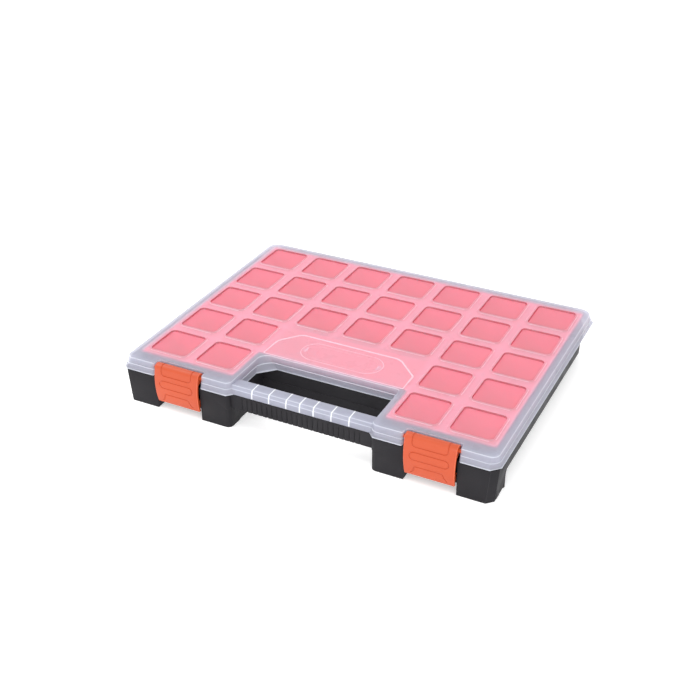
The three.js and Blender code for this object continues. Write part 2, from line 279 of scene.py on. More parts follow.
def grain(tree, bsdf, scale, strength, depth):
    bump = tree.nodes.new("ShaderNodeBump")
    bump.inputs["Strength"].default_value = strength
    bump.inputs["Distance"].default_value = depth * MM
    tree.links.new(noise(tree, scale, 2.0), bump.inputs["Height"])
    tree.links.new(bump.outputs["Normal"], bsdf.inputs["Normal"])


def moulded(name, dark, light, rough, shine, grain_scale, grain_strength):
    """An opaque moulding: drifting colour and gloss, and a fine grain."""
    material, tree, bsdf = shader(name)
    drift = noise(tree, 18.0)
    tree.links.new(two_colours(tree, drift, dark, light), bsdf.inputs["Base Color"])
    tree.links.new(spread(tree, noise(tree, 60.0), rough[0], rough[1]), bsdf.inputs["Roughness"])
    bsdf.inputs["Specular IOR Level"].default_value = shine
    grain(tree, bsdf, grain_scale, grain_strength, 0.1)
    return material


def fade(tree, value, start, end):
    """1 before `start` and 0 past `end`, in millimetres."""
    node = tree.nodes.new("ShaderNodeMapRange")
    node.interpolation_type = "SMOOTHSTEP"
    node.inputs["From Min"].default_value = start * MM
    node.inputs["From Max"].default_value = end * MM
    node.inputs["To Min"].default_value = 1.0
    node.inputs["To Max"].default_value = 0.0
    tree.links.new(value, node.inputs["Value"])
    return node.outputs["Result"]


def maths(tree, operation, *values):
    node = tree.nodes.new("ShaderNodeMath")
    node.operation = operation
    for socket, value in zip(node.inputs, values):
        tree.links.new(value, socket)
    return node.outputs["Value"]


# Where the lid turns cloudy, each as the start and end of a fade in the frame's millimetres.
CUPS_SIDE, CUPS_FRONT, CUPS_BACK = (178.5, 185.0), (124.5, 131.0), (129.0, 135.0)
BAY_SIDE, BAY_BACK = (76.0, 80.0), (-83.0, -78.5)
ONWARD = (0.98, 0.98, 1.0)


def over_cups(tree):
    """1 where cups lie close under the lid and 0 over the empty margin round them."""
    place = tree.nodes.new("ShaderNodeTexCoord").outputs["Object"]
    split = tree.nodes.new("ShaderNodeSeparateXYZ")
    tree.links.new(place, split.inputs["Vector"])
    across = maths(tree, "ABSOLUTE", split.outputs["X"])
    forward = maths(tree, "MULTIPLY", split.outputs["Y"])
    forward.node.inputs[1].default_value = -1.0
    backward = split.outputs["Y"]
    inside = maths(tree, "MULTIPLY", fade(tree, across, *CUPS_SIDE), fade(tree, forward, *CUPS_FRONT))
    inside = maths(tree, "MULTIPLY", inside, fade(tree, backward, *CUPS_BACK))
    in_bay = maths(tree, "MULTIPLY", fade(tree, across, *BAY_SIDE), fade(tree, backward, *BAY_BACK))
    return maths(tree, "SUBTRACT", inside, maths(tree, "MINIMUM", inside, in_bay))


def clear(name, milk, glow, tint, rough, grain_scale, grain_strength, margin=None):
    """Frosted plastic: `milk` of the light is scattered back, `glow` onward, the rest goes through.

    `margin` is the colour and the see-through share where nothing lies close underneath."""
    material, tree, bsdf = shader(name)
    drift = noise(tree, 25.0)
    paler = tuple(min(1.0, c * 1.04) for c in tint)
    tree.links.new(two_colours(tree, drift, tint, paler), bsdf.inputs["Base Color"])
    tree.links.new(spread(tree, noise(tree, 90.0), rough[0], rough[1]), bsdf.inputs["Roughness"])
    bsdf.inputs["Specular IOR Level"].default_value = 1.0
    grain(tree, bsdf, grain_scale, grain_strength, 0.05)
    onward = tree.nodes.new("ShaderNodeBsdfTranslucent")
    onward.inputs["Color"].default_value = (*ONWARD, 1)
    through = tree.nodes.new("ShaderNodeBsdfTransparent")
    scattered = tree.nodes.new("ShaderNodeMixShader")
    scattered.inputs["Fac"].default_value = glow / (glow + milk)
    tree.links.new(bsdf.outputs["BSDF"], scattered.inputs[1])
    tree.links.new(onward.outputs["BSDF"], scattered.inputs[2])
    whole = tree.nodes.new("ShaderNodeMixShader")
    see_through = 1.0 - glow - milk
    whole.inputs["Fac"].default_value = see_through
    if margin:
        near = over_cups(tree)
        share = tree.nodes.new("ShaderNodeMapRange")
        share.inputs["To Min"].default_value = margin[1]
        share.inputs["To Max"].default_value = see_through
        tree.links.new(near, share.inputs["Value"])
        tree.links.new(share.outputs["Result"], whole.inputs["Fac"])
        for socket, close in ((bsdf.inputs["Base Color"], tint), (onward.inputs["Color"], ONWARD)):
            tree.links.new(two_colours(tree, near, margin[0], close), socket)
    tree.links.new(scattered.outputs["Shader"], whole.inputs[1])
    tree.links.new(through.outputs["BSDF"], whole.inputs[2])
    tree.links.new(whole.outputs["Shader"], tree.nodes["Material Output"].inputs["Surface"])
    return material


# %% The finishes
# Colours run from dark to light, and gloss from smoother to rougher.
BLACK = (0.013, 0.012, 0.0145), (0.019, 0.018, 0.021)
# This paler black goes on the base's rounded edges, a painted highlight.
EDGE_HIGHLIGHT_BLACK = (0.030, 0.029, 0.033), (0.045, 0.043, 0.048)
RED = (0.94, 0.040, 0.135), (0.98, 0.054, 0.165)
ORANGE = (0.46, 0.060, 0.015), (0.51, 0.072, 0.019)
# This paler orange goes on the latches' rounded edges, a painted highlight.
EDGE_HIGHLIGHT_ORANGE = (0.66, 0.11, 0.040), (0.72, 0.13, 0.050)
black = moulded("base_black", *BLACK, (0.45, 0.60), 0.14, 2600.0, 0.35)
black_edge_highlight = moulded("base_edge_highlight", *EDGE_HIGHLIGHT_BLACK, (0.30, 0.42), 0.35, 2600.0, 0.15)
red = moulded("cup_red", *RED, (0.28, 0.40), 0.5, 900.0, 0.08)
orange = moulded("latch_orange", *ORANGE, (0.30, 0.42), 0.4, 1500.0, 0.10)
orange_edge_highlight = moulded("latch_edge_highlight", *EDGE_HIGHLIGHT_ORANGE, (0.24, 0.34), 0.6, 1500.0, 0.05)

MILKY, CLOUDY = (0.83, 0.87, 1.0), (0.66, 0.67, 0.77)
# The rib white here is a painted highlight, and the shaded red a painted shade.
RIB_HIGHLIGHT_WHITE, SHADED_RED = (0.95, 0.96, 1.0), (0.26, 0.045, 0.05)
ETCHED = (0.25, 0.35)
frosted = clear("lid_frosted", 0.18, 0.29, MILKY, ETCHED, 1400.0, 0.12, (CLOUDY, 0.28))
window = clear("lid_window", 0.17, 0.13, MILKY, (0.12, 0.20), 500.0, 0.04)
# This whiter finish is a painted highlight, for crests, slopes, the bead and the badge line.
painted_highlight = clear("lid_edge_highlight", 0.42, 0.28, MILKY, ETCHED, 1400.0, 0.10)
rib_highlight = clear("lid_rib_highlight", 0.60, 0.36, RIB_HIGHLIGHT_WHITE, ETCHED, 1400.0, 0.10)
recess = clear("lid_recess", 0.60, 0.05, SHADED_RED, ETCHED, 1400.0, 0.05)
inner = clear("lid_inside", 0.05, 0.05, MILKY, (0.20, 0.28), 1400.0, 0.05)
lid_finishes = (frosted, window, painted_highlight, recess, rib_highlight)
# EDGE marks the faces of the painted highlight, and WALL those of the painted shade.
WEB, PANE, EDGE, WALL, RIB = range(len(lid_finishes))
print("materials", len(bpy.data.materials))

# %% Bare wire for the hinge pins
DARK_STEEL, PALE_STEEL = (0.55, 0.55, 0.57), (0.66, 0.66, 0.68)
steel, steel_tree, steel_bsdf = shader("pin_steel")
steel_bsdf.inputs["Metallic"].default_value = 1.0
steel_tree.links.new(
    two_colours(steel_tree, noise(steel_tree, 40.0), DARK_STEEL, PALE_STEEL),
    steel_bsdf.inputs["Base Color"],
)
steel_shine = spread(steel_tree, noise(steel_tree, 700.0), 0.18, 0.34)
steel_tree.links.new(steel_shine, steel_bsdf.inputs["Roughness"])
grain(steel_tree, steel_bsdf, 3000.0, 0.1, 0.02)
print("wire", steel.name)

# %% [markdown]
# ## Outlines
# The lid's skirt follows one outline all the way round: four outer corners, a notch for each latch and
# the handle bay. Each corner is (x, y, crest, foot, flare). It is rounded by `crest` along the top edge
# and cut straight by `foot` at the bottom, and `flare` is how far the stretch that follows it moves out
# as the skirt widens: the notches stay upright, so theirs is small.

# %% Corner outlines that can grow
CORNER_STEPS = 6


def ring(corners, grow, z, down=0.0, steps=CORNER_STEPS):
    """Points round an outline at height z. `down` is 0 at the crest and 1 at the foot of the skirt."""
    count = len(corners)
    points = []
    for i, (x, y, crest, foot, flare) in enumerate(corners):
        before, after = corners[i - 1], corners[(i + 1) % count]
        into = Vector((x - before[0], y - before[1])).normalized()
        onward = Vector((after[0] - x, after[1] - y)).normalized()
        out_before = Vector((into.y, -into.x)) * grow * before[4]
        out_after = Vector((onward.y, -onward.x)) * grow * flare
        here = Vector((x, y)) + out_before + out_after
        size = crest + (foot - crest) * down
        start, end = here - into * size, here + onward * size
        for step in range(steps + 1):
            t = step / steps
            angle = t * math.pi / 2
            curved = start + into * size * math.sin(angle) + onward * size * (1 - math.cos(angle))
            at = curved.lerp(start.lerp(end, t), down)
            points.append((at.x, at.y, z))
    return points


def skin(name, loops):
    """A mesh of quads between loops that all have the same number of points."""
    count = len(loops[0])
    points = [point for loop in loops for point in loop]
    faces = []
    for level in range(len(loops) - 1):
        for i in range(count):
            j = (i + 1) % count
            a, b = level * count, (level + 1) * count
            faces.append((a + i, a + j, b + j, b + i))
    return mesh_object(name, points, faces)


# %% The lid's outline
LID_HALF, LID_FRONT, LID_BACK = 191.4, -148.7, 139.4
LATCH_X, NOTCH_HALF, NOTCH_BACK = 129.5, 26.3, -138.0
HOLE_HALF, HOLE_BACK = 69.7, -87.9
SKIRT = 12.5


def notch(side):
    left, right = side * LATCH_X - NOTCH_HALF, side * LATCH_X + NOTCH_HALF
    return [
        (left, LID_FRONT, 1.6, 1.2, 0.1),
        (left, NOTCH_BACK, 3.0, 3.0, 0.1),
        (right, NOTCH_BACK, 3.0, 3.0, 0.1),
        (right, LID_FRONT, 1.6, 1.2, 1.0),
    ]


lid_outline = [
    (-LID_HALF, LID_FRONT, 7.0, 4.0, 1.0),
    *notch(-1),
    (-HOLE_HALF, LID_FRONT, 5.5, 5.5, 1.0),
    (-HOLE_HALF, HOLE_BACK, 9.0, 14.5, 1.0),
    (HOLE_HALF, HOLE_BACK, 3.0, 3.0, 1.0),
    (HOLE_HALF, LID_FRONT, 5.5, 5.5, 1.0),
    *notch(1),
    (LID_HALF, LID_FRONT, 7.0, 8.0, 1.0),
    (LID_HALF, LID_BACK, 11.0, 4.5, 1.0),
    (-LID_HALF, LID_BACK, 10.0, 8.0, 1.0),
]
print("lid outline", len(ring(lid_outline, 0, 0)), "points")

# %% [markdown]
# ## The lid
# A window is modelled once, as a dish: a square with rounded corners, inset and stepped up to the
# raised ring, then down to the sunken pane. Copies of it go over every cup but the wide one, and a
# fill between the dishes and the skirt's top edge makes the web. The underside is made the same way,
# so the lid is one closed shell of nearly even thickness, as a moulding is.

# %% One window dish
RING_SIDE, RING_CORNER = 44.9, 6.8
# Each step is (how far in, how far up).
RING_STEPS = ((0.40, 0.32), (0.35, 0.10), (1.25, 0.0), (0.35, -0.10), (0.25, -0.65), (0.25, -1.15))
SQUARE_STEPS = 5


def rounded_square(name, side, corner, z, steps):
    """A square face with round corners at height z, left in edit mode with everything selected."""
    bpy.ops.object.select_all(action="DESELECT")
    bpy.ops.mesh.primitive_plane_add(size=side * MM, location=(0, 0, z * MM))
    obj = bpy.context.object
    obj.name = name
    bpy.ops.object.transform_apply(location=True)
    bpy.ops.object.mode_set(mode="EDIT")
    bpy.ops.mesh.select_all(action="SELECT")
    bpy.ops.mesh.bevel(offset=corner * MM, segments=steps, affect="VERTICES", offset_type="OFFSET")
    return obj


def step_in(thickness, rise):
    bpy.ops.mesh.inset(thickness=thickness * MM, depth=rise * MM, use_even_offset=True)


def window_dish():
    obj = rounded_square("dish", RING_SIDE, RING_CORNER, lid_top, SQUARE_STEPS)
    for thickness, rise in RING_STEPS:
        step_in(thickness, rise)
    object_mode()
    return obj


dish = window_dish()
paint(dish, *lid_finishes)
pane = max(dish.data.polygons, key=lambda face: face.area)
# The outer slope of the ring takes the whiter finish, a painted highlight. The steep step inside it is
# painted dark red, which stands in for the shade of the cups below, and it stays red when the lid
# opens.
outer_slope = RING_SIDE / 2 - RING_STEPS[0][0]
inner_slope = RING_SIDE / 2 - 2
STEEP = 0.6
for face in dish.data.polygons:
    across = max(abs(face.center.x), abs(face.center.y)) / MM
    face.material_index = EDGE if across > outer_slope else WEB
    if abs(face.normal.z) < STEEP and across < inner_slope:
        face.material_index = WALL
pane.material_index = PANE
print("dish", len(dish.data.polygons), "faces, pane", round(math.sqrt(pane.area) / MM, 1), "mm")

# %% The underside of a window
PANEL = 1.9
UNDER_SIDE, UNDER_CORNER = 41.0, 6.5
UNDER_STEPS = ((0.4, 0.0), (0.6, -1.6), (0.5, -0.2))


def pane_under():
    obj = rounded_square("under", UNDER_SIDE, UNDER_CORNER, lid_top - PANEL, SQUARE_STEPS)
    for thickness, rise in UNDER_STEPS:
        step_in(thickness, rise)
    bpy.ops.mesh.select_all(action="SELECT")
    bpy.ops.mesh.flip_normals()
    object_mode()
    return obj


under = pane_under()
paint(under, inner)
print("underside", len(under.data.polygons), "faces")

# %% Skirt
# Each step is (how far the outline grows, how high above the web).
CREST = (-3.8, 0), (-3.1, -0.25), (-2.7, -0.9)
FACE = (-1.9, -6.4), (-1.3, -6.8), (-0.5, -11.0), (-0.1, -11.5), (0, -SKIRT)
INSIDE = (-2.0, -SKIRT), (-2.4, -10.8), (-3.3, -6.8), (-4.6, -PANEL)
skirt_profile = CREST + FACE + INSIDE
skirt = skin(
    "lid_skirt",
    [ring(lid_outline, grow, lid_top + z, min(1.0, -z / SKIRT)) for grow, z in skirt_profile],
)
paint(skirt, *lid_finishes)
around = len(ring(lid_outline, 0, 0))
# Three bands along the skirt's crest and steps take the whiter finish, a painted highlight.
HIGHLIGHT_LEVELS = (1, 3, 6)
for face in skirt.data.polygons:
    face.material_index = EDGE if face.index // around in HIGHLIGHT_LEVELS else WEB
print("skirt", around, "points round,", len(skirt_profile), "levels")

# %% [markdown]
# ### The label field
# The field behind the handle has a fine bead round it that dies out towards the handle, and a plain
# oval badge in its middle. Both are loops of the same outline, drawn in and lifted a little, which
# gives a bead of even width with few faces.

# %% Bead and badge
# The field and the badge each lie a little lower than what is round them.
FIELD_DROP, BADGE_DROP = 0.05, 0.10
BEAD = ((0, 0), (-0.35, 0.40), (-0.75, 0.40), (-1.1, -FIELD_DROP))
OUTER_LINE = ((0, -FIELD_DROP), (-0.4, 0.25), (-0.9, 0.25), (-1.3, -FIELD_DROP))
INNER_LINE = ((-4.2, -FIELD_DROP), (-4.5, 0.18), (-5.0, 0.18), (-5.4, -BADGE_DROP))
BADGE_STEPS = 12
BEAD_END, BEAD_FADE = -82.5, 8.0
field = [
    (-73.0, -83.6, 1.5, 1.5, 1.0),
    (75.0, -83.6, 1.5, 1.5, 1.0),
    (75.4, -59.3, 2.0, 2.0, 1.0),
    (52.0, -36.4, 5.0, 5.0, 1.0),
    (-55.1, -35.9, 5.0, 5.0, 1.0),
    (-72.3, -56.2, 4.0, 4.0, 1.0),
]
badge = [
    (-42.7, -76.4, 16.0, 16.0, 1.0),
    (43.7, -76.4, 16.0, 16.0, 1.0),
    (43.7, -44.2, 16.0, 16.0, 1.0),
    (-42.7, -44.2, 16.0, 16.0, 1.0),
]


def bead_loop(grow, rise):
    """One loop of the bead round the field, whose height dies out towards the handle."""
    loop = ring(field, grow, lid_top)
    strength = [min(1.0, max(0.0, (y - BEAD_END) / BEAD_FADE)) for x, y, z in loop]
    return [(x, y, z + (rise * part if rise > 0 else rise)) for (x, y, z), part in zip(loop, strength)]


bead = skin("label_bead", [bead_loop(grow, rise) for grow, rise in BEAD])
# The whole bead takes the whiter finish, a painted highlight.
paint(bead, painted_highlight)
badge_loops = [
    ring(badge, grow, lid_top + rise, 0.0, BADGE_STEPS) for grow, rise in OUTER_LINE + INNER_LINE
]
oval = skin("label_badge", badge_loops)
paint(oval, *lid_finishes)
# The top of the badge's outer line takes the whiter finish, a painted highlight.
for face in oval.data.polygons:
    face.material_index = EDGE if face.index // len(badge_loops[0]) == 1 else WEB
print("bead", len(bead.data.polygons), "faces, badge", len(oval.data.polygons), "faces")

# %% One closed shell
windows = copies(dish, cups.values()) + copies(under, cups.values())
lid = join([skirt, bead, oval, *windows], "lid_clear")
bpy.data.objects.remove(dish)
bpy.data.objects.remove(under)
NEAR = 0.01
WELD = 0.00001


def open_at(level):
    """A test for the open edges that lie at one height."""
    return lambda edge: edge.is_boundary and all(abs(v.co.z / MM - level) < NEAR for v in edge.verts)


for level in (lid_top, lid_top - FIELD_DROP, lid_top - BADGE_DROP, lid_top - PANEL):
    edit(lid, "EDGE")
    found = pick(lid, "edges", open_at(level))
    bpy.ops.mesh.fill(use_beauty=True)
    object_mode()
    print("filled between", found, "edges at", round(level, 2), "mm")
outward(lid, WELD)


def open_edges(obj):
    """How many edges don't have exactly two faces."""
    edit(obj, "EDGE")
    bpy.ops.mesh.select_all(action="DESELECT")
    bpy.ops.mesh.select_non_manifold()
    object_mode()
    return sum(edge.select for edge in obj.data.edges)


print("lid", len(lid.data.polygons), "faces,", open_edges(lid), "open edges")

# %% [markdown]
# ## The lid's half of the handle
# A hollow bar crosses the front of the handle bay, a little lower than the panel. Thin ribs cross its
# inside, and where they meet the front they show as white lines: their whiter finish is a painted
# highlight. Bar and ribs are sections pushed along X, and booleans weld them to each other and to
# the lid.

# %% Handle bar and ribs
BAR_TOP = 45.4
bar_outside = [
    (-143.5, 36.5),
    (-143.2, 41.8),
    (-142.7, 42.3),
    (-142.3, BAR_TOP - 1.0),
    (-141.7, BAR_TOP - 0.3),
    (-140.9, BAR_TOP),
    (-131.0, BAR_TOP),
    (-130.2, BAR_TOP - 0.3),
    (-129.6, BAR_TOP - 1.0),
    (-128.4, 36.5),
]
bar_inside = [(-130.3, 36.5), (-131.3, BAR_TOP - 1.9), (-140.5, BAR_TOP - 1.9), (-141.6, 36.5)]
BAR_HALF = 72.2
# Three narrow faces along the bar's front and top crests take the whiter finish, a painted highlight.
HIGHLIGHT_FACES = (1, 4, 7)
bar = prism("handle_bar", bar_outside + bar_inside, -BAR_HALF, BAR_HALF, *lid_finishes)
for face in HIGHLIGHT_FACES:
    bar.data.polygons[face].material_index = EDGE
RIB_HALF, RIB_PROUD = 0.6, 0.2
RIB_PLACES = (-49.8, -32.0, -14.0, 0.0, 14.0, 32.0, 49.8)
rib_section = [(y - RIB_PROUD, z + RIB_PROUD / 2) for y, z in bar_outside[:6]]
rib_section += [(y, z + RIB_PROUD / 2) for y, z in bar_outside[6:8]]
rib_section += [(-129.4, BAR_TOP - 1.5), (-129.2, 36.9)]
rib_section[0] = (-143.7, 36.9)
for x in RIB_PLACES:
    rib = prism("rib", rib_section, x - RIB_HALF, x + RIB_HALF, *lid_finishes)
    # Each rib takes the whiter finish, a painted highlight.
    for face in rib.data.polygons:
        face.material_index = RIB
    boolean(bar, rib, "UNION")
boolean(lid, bar, "UNION")
print("lid with handle", len(lid.data.polygons), "faces,", open_edges(lid), "open edges")

# %% [markdown]
# ### Hinge knuckles
# Each knuckle hangs below the back of the skirt on a short arm, and the pin runs through it. It is a
# cylinder joined to a prism, and a thinner cylinder takes the hole out.

# %% Knuckles, arms and pin holes
HINGE_X, HINGE_Y, HINGE_Z = 112.0, 141.4, 33.4
KNUCKLE, PIN_HOLE, KNUCKLE_HALF = 4.0, 1.8, 12.0
ARM_HALF, HOLE_LONG = KNUCKLE_HALF - 0.02, KNUCKLE_HALF + 2
arm_section = [(137.0, 42.6), (137.0, 36.8), (137.8, HINGE_Z)]
arm_section += [(HINGE_Y + KNUCKLE - 0.2, HINGE_Z), (139.0, 42.6)]
for side in (-1, 1):
    x = side * HINGE_X
    knuckle = round_bar("knuckle", KNUCKLE, KNUCKLE_HALF, x, HINGE_Y, HINGE_Z, 32, frosted)
    arm = prism("arm", arm_section, x - ARM_HALF, x + ARM_HALF, frosted)
    boolean(knuckle, arm, "UNION")
    boolean(lid, knuckle, "UNION")
    hole = round_bar("hole", PIN_HOLE, HOLE_LONG, x, HINGE_Y, HINGE_Z, 20, frosted)
    boolean(lid, hole)
smooth(lid, 28)
finished(lid, "lid", "lid_frosted", "lid")
print("finished lid", open_edges(lid), "open edges")

# %% [markdown]
# ## The base
# The frame's own base already has the tub, the legs and the handle bar. A copy of it is merged, its
# flat areas are joined into single faces, and every hard edge is rounded, because a moulding has no
# sharp edge and the thin bright line along each one is what makes it look like plastic. The outer
# legs lean in a little at the foot, as a moulding must to leave its mould.

# %% Rounded copy of the base
SEAM, FLAT = 0.00002, 1.0


def copy_of(name, new_name):
    """A merged copy of a node of the frame, with its flat areas joined into single faces."""
    source = nodes[name]
    copy = source.copy()
    copy.data = source.data.copy()
    copy.parent = None
    copy.name = new_name
    for key in list(copy.keys()):
        del copy[key]
    bpy.context.collection.objects.link(copy)
    edit(copy)
    bpy.ops.mesh.select_all(action="SELECT")
    bpy.ops.mesh.remove_doubles(threshold=SEAM)
    bpy.ops.mesh.dissolve_limited(angle_limit=math.radians(FLAT))
    object_mode()
    return copy


base = copy_of("base_shell", "base_black_shell")
print("base", len(base.data.polygons), "flat faces")

# %% Leaning legs and round edges
LEG_SIDE, LEG_DRAFT, LEG_BACK, FOOT = 184.0, 3.0, -118.0, 0.1


def leg_foot(side):
    """A test for the foot of the outer leg on one side."""
    return lambda v: v.co.x * side > LEG_SIDE * MM and v.co.y < LEG_BACK * MM and v.co.z < FOOT * MM


edit(base, "VERT")
for side in (-1, 1):
    pick(base, "verts", leg_foot(side))
    bpy.ops.transform.translate(value=(-side * LEG_DRAFT * MM, 0, 0))
object_mode()
paint(base, black, black_edge_highlight)
# The rounded edges take the paler black, a painted highlight.
soften(base, 0.45, edge_material=1)
smooth(base)
finished(base, "base", "base_black", "base_shell")

# %% [markdown]
# ## The cups
# One cup is raised from its floor: a rounded square pulled up in steps, each a little wider, with a
# small lip round the mouth that closes the gap to its neighbours. Solidify gives it its wall. The
# others are copies, each with its own mesh.

# %% Sizes of a cup
cup_low, cup_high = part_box("cup_row3_col4")
CUP_SIDE = (cup_high.x - cup_low.x) / MM
CUP_TALL = (cup_high.z - cup_low.z) / MM
LIP_OUT, LIP_TALL, LIP_CORNER = 0.8, 1.3, 1.2
FLOOR_CORNER, FLOOR_STEPS, FLOOR_INSET, CUP_WALL = 6.0, 6, 7.15, 1.3
# Each step is (how far in from the outline, how high above the foot).
WALL_STEPS = ((5.0, 1.4), (3.4, 2.2), (2.2, 3.4), (1.75, 6.0), (0.1, CUP_TALL - LIP_TALL - 0.4))
LIP_STEPS = ((-LIP_OUT, CUP_TALL - LIP_TALL), (-LIP_OUT, CUP_TALL))
print("cup", round(CUP_SIDE, 2), "mm square,", round(CUP_TALL, 2), "mm tall")


# %% One cup, and a copy for every window
def square_lip(obj, half_length, half_depth, corner):
    """Tightens the round corners of the lip, so that four neighbours leave no gap between them."""
    lip_foot = cup_low.z / MM + CUP_TALL - LIP_TALL - 0.01
    for vertex in obj.data.vertices:
        if vertex.co.z / MM < lip_foot:
            continue
        for axis, half in ((0, half_length), (1, half_depth)):
            at = abs(vertex.co[axis]) / MM
            past = (at - (half - corner)) / corner
            if past > 0:
                place = half - LIP_CORNER + LIP_CORNER * past
                vertex.co[axis] = math.copysign(place * MM, vertex.co[axis])


def cup_form(name, length, depth):
    """A cup of the given outline, standing on the frame's cup floor round the origin."""
    inset = FLOOR_INSET
    bpy.ops.object.select_all(action="DESELECT")
    bpy.ops.mesh.primitive_plane_add(size=MM, location=(0, 0, cup_low.z))
    obj = bpy.context.object
    obj.name = name
    obj.scale = (length - 2 * inset, depth - 2 * inset, 1)
    bpy.ops.object.transform_apply(location=True, rotation=True, scale=True)
    bpy.ops.object.mode_set(mode="EDIT")
    bpy.ops.mesh.select_all(action="SELECT")
    bpy.ops.mesh.bevel(offset=FLOOR_CORNER * MM, segments=FLOOR_STEPS, affect="VERTICES")
    was, rise = inset, 0.0
    for now, z in WALL_STEPS + LIP_STEPS:
        bpy.ops.mesh.extrude_region_move(TRANSFORM_OT_translate={"value": (0, 0, (z - rise) * MM)})
        wider = (length - 2 * now) / (length - 2 * was)
        deeper = (depth - 2 * now) / (depth - 2 * was)
        bpy.ops.transform.resize(value=(wider, deeper, 1), center_override=(0, 0, 0))
        was, rise = now, z
    bpy.ops.mesh.delete(type="FACE")
    object_mode()
    mouth_corner = FLOOR_CORNER * (length - 2 * was) / (length - 2 * inset)
    square_lip(obj, length / 2 + LIP_OUT, depth / 2 + LIP_OUT, mouth_corner)
    outward(obj)
    wall = obj.modifiers.new("wall", "SOLIDIFY")
    wall.thickness = CUP_WALL * MM
    wall.offset = -1
    wall.use_even_offset = True
    apply_all(obj)
    soften(obj, 0.35, 2, 40)
    smooth(obj, 40)
    paint(obj, red)
    return obj


cup = cup_form("cup", CUP_SIDE, CUP_SIDE)
for name, (x, y) in cups.items():
    one = copies(cup, [(x, y)])[0]
    one.name = name.replace("cup", "red_cup")
    finished(one, "base", "cup_red", name)
bpy.data.objects.remove(cup)

# %% The wide cup under the label
wide_low, wide_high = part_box("cup_wide")
wide = cup_form("red_cup_wide", (wide_high.x - wide_low.x) / MM, (wide_high.y - wide_low.y) / MM)
wide.location = ((wide_low.x + wide_high.x) / 2, (wide_low.y + wide_high.y) / 2, 0)
finished(wide, "base", "cup_red", "cup_wide")

# %% [markdown]
# ## The latches
# A latch is a bowed plate that rolls over into a round top, where it turns on two small stubs. Its
# side view is drawn once, pushed along X and narrowed towards the bottom. The pressed lines on its
# face are round cutters on curves that follow the bow, taken away by booleans.

# %% The latch's side view
AXIS_Y, AXIS_Z, BARREL = -143.6, 44.1, 4.9
FACE_Y, BOW_MIDDLE, BOW_REACH, BOW = -150.8, 27.0, 17.5, 2.3
PLATE, LATCH_FOOT, LATCH_HALF, LATCH_NARROW = 2.4, 8.7, 24.2, 0.7
STUB, STUB_HALF = 1.7, 28.3


def face_y(z):
    """Where the bowed front of the latch is at height z."""
    return FACE_Y + BOW * ((z - BOW_MIDDLE) / BOW_REACH) ** 2


def on_barrel(degrees):
    """A point round the latch's axis, from the back (0) over the top (90) to the front (180)."""
    angle = math.radians(degrees)
    return AXIS_Y + BARREL * math.cos(angle), AXIS_Z + BARREL * math.sin(angle)


def steps_between(low, high, count):
    return [low + (high - low) * i / (count - 1) for i in range(count)]


latch_section = [(face_y(z), z) for z in steps_between(LATCH_FOOT, 43.2, 14)]
latch_section += [on_barrel(angle) for angle in steps_between(172, -78, 26)]
latch_section += [(face_y(z) + PLATE, z) for z in steps_between(38.2, 21.5, 7)]
latch_section += [(-142.2, 19.9), (-141.9, 19.4), (-141.9, 17.6), (-145.0, 14.0)]
latch_section += [(face_y(z) + PLATE + 0.2, z) for z in (12.8, LATCH_FOOT)]

print("latch section", len(latch_section), "points")

# %% Cutters for the pressed lines
LINE = 0.55
WIRE_WELD = 0.000001


def cutter(path, closed):
    """A round wire along points (x, y, z) in millimetres, made a mesh to cut with."""
    curve = bpy.data.curves.new("line", "CURVE")
    curve.dimensions = "3D"
    curve.bevel_depth = LINE * MM
    curve.bevel_resolution = 2
    curve.use_fill_caps = True
    spline = curve.splines.new("POLY")
    spline.points.add(len(path) - 1)
    for point, (x, y, z) in zip(spline.points, path):
        point.co = (x * MM, (y + grid_shift) * MM, z * MM, 1)
    spline.use_cyclic_u = closed
    wire = bpy.data.objects.new("line", curve)
    bpy.context.collection.objects.link(wire)
    only(wire)
    bpy.ops.object.convert(target="MESH")
    wire = bpy.context.object
    outward(wire, WIRE_WELD)
    return wire


def on_face(points):
    return [(x, face_y(z), z) for x, z in points]


def arc(x, z, radius, start, end, count=9):
    angles = [math.radians(angle) for angle in steps_between(start, end, count)]
    return [(x + radius * math.cos(angle), z + radius * math.sin(angle)) for angle in angles]


# %% Paths of the pressed lines
# A tab that runs over the top, a long round slot across the middle and an arch at the foot.
TAB, TAB_CORNER, TAB_Z = 16.6, 3.5, 43.3
SLOT, SLOT_RADIUS, SLOT_Z = 14.4, 3.9, 30.6
ARCH_LEFT, ARCH_RIGHT, ARCH_RADIUS, ARCH_Z = -11.6, 11.0, 2.4, 17.4
ARCH_FOOT = (17.0, 11.8), (14.6, 14.5)
tab_side = [on_barrel(angle) for angle in steps_between(55, 165, 9)]
tab = [(-TAB, y, z) for y, z in tab_side]
tab += on_face(arc(-TAB + TAB_CORNER, TAB_Z, TAB_CORNER, 180, 270, 5))
tab += on_face(arc(TAB - TAB_CORNER, TAB_Z, TAB_CORNER, 270, 360, 5))
tab += [(TAB, y, z) for y, z in reversed(tab_side)]
slot = on_face(arc(-SLOT, SLOT_Z, SLOT_RADIUS, 90, 270) + arc(SLOT, SLOT_Z, SLOT_RADIUS, -90, 90))
arch = on_face([(-x, z) for x, z in ARCH_FOOT] + arc(ARCH_LEFT, ARCH_Z, ARCH_RADIUS, 150, 90, 4))
arch += on_face(arc(ARCH_RIGHT, ARCH_Z, ARCH_RADIUS, 90, 30, 4) + list(reversed(ARCH_FOOT)))

print("pressed lines", len(tab), len(slot), len(arch), "points")

# %% Both latches
NARROW_FROM = 40


